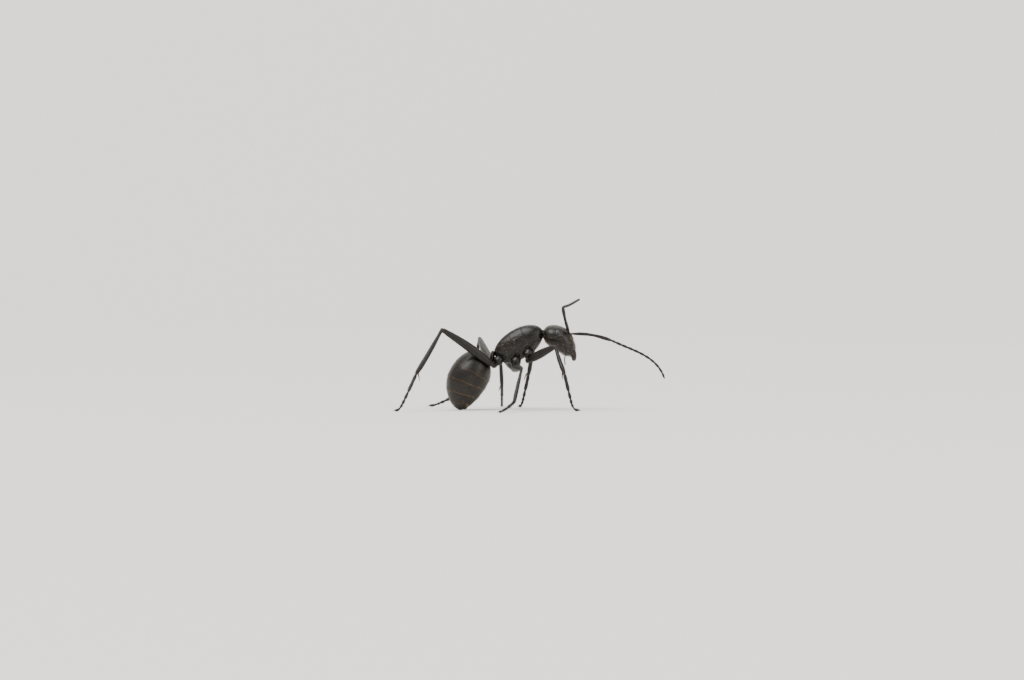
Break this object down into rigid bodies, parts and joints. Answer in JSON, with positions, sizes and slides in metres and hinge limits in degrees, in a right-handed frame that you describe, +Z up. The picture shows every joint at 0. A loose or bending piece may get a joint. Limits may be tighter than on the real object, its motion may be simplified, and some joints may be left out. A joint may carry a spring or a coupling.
{
  "type": "carpenter ant",
  "caption": "Life-size standing worker ant: head turned down, feelers raised and stretched forward, gaster lowered to the ground.",
  "frame": {"origin": "on the ground (z = 0) below the middle of the ant's reach, feelers and feet included", "axes": "+X is the way the ant faces, from gaster to head; +Y is its left side; +Z is up"},
  "size_m": [0.0245, 0.02, 0.0103],
  "materials": {
    "body_cuticle": "satin",
    "limb_cuticle": "satin",
    "eye_lens": "gloss",
    "setae": "satin"
  },
  "bodies": {
    "root": {"eye_left": "eye_lens", "mandible_left": "limb_cuticle", "eye_right": "eye_lens", "mandible_right": "limb_cuticle", "head": "body_cuticle", "mouthparts": "limb_cuticle", "propodeum": "body_cuticle", "mesonotum": "body_cuticle", "pronotum": "body_cuticle", "petiole": "body_cuticle", "gaster_1": "body_cuticle", "gaster_2": "body_cuticle", "gaster_3": "body_cuticle", "gaster_4": "body_cuticle", "gaster_5": "body_cuticle", "scape_left": "limb_cuticle", "flagellum_left": "limb_cuticle", "coxa_front_left": "body_cuticle", "trochanter_front_left": "limb_cuticle", "femur_front_left": "limb_cuticle", "tibia_front_left": "limb_cuticle", "tarsus_front_left": "limb_cuticle", "coxa_middle_left": "body_cuticle", "trochanter_middle_left": "limb_cuticle", "femur_middle_left": "limb_cuticle", "tibia_middle_left": "limb_cuticle", "tarsus_middle_left": "limb_cuticle", "coxa_hind_left": "body_cuticle", "trochanter_hind_left": "limb_cuticle", "femur_hind_left": "limb_cuticle", "tibia_hind_left": "limb_cuticle", "tarsus_hind_left": "limb_cuticle", "scape_right": "limb_cuticle", "flagellum_right": "limb_cuticle", "coxa_front_right": "body_cuticle", "trochanter_front_right": "limb_cuticle", "femur_front_right": "limb_cuticle", "tibia_front_right": "limb_cuticle", "tarsus_front_right": "limb_cuticle", "coxa_middle_right": "body_cuticle", "trochanter_middle_right": "limb_cuticle", "femur_middle_right": "limb_cuticle", "tibia_middle_right": "limb_cuticle", "tarsus_middle_right": "limb_cuticle", "coxa_hind_right": "body_cuticle", "trochanter_hind_right": "limb_cuticle", "femur_hind_right": "limb_cuticle", "tibia_hind_right": "limb_cuticle", "tarsus_hind_right": "limb_cuticle"}
  },
  "joints": []
}
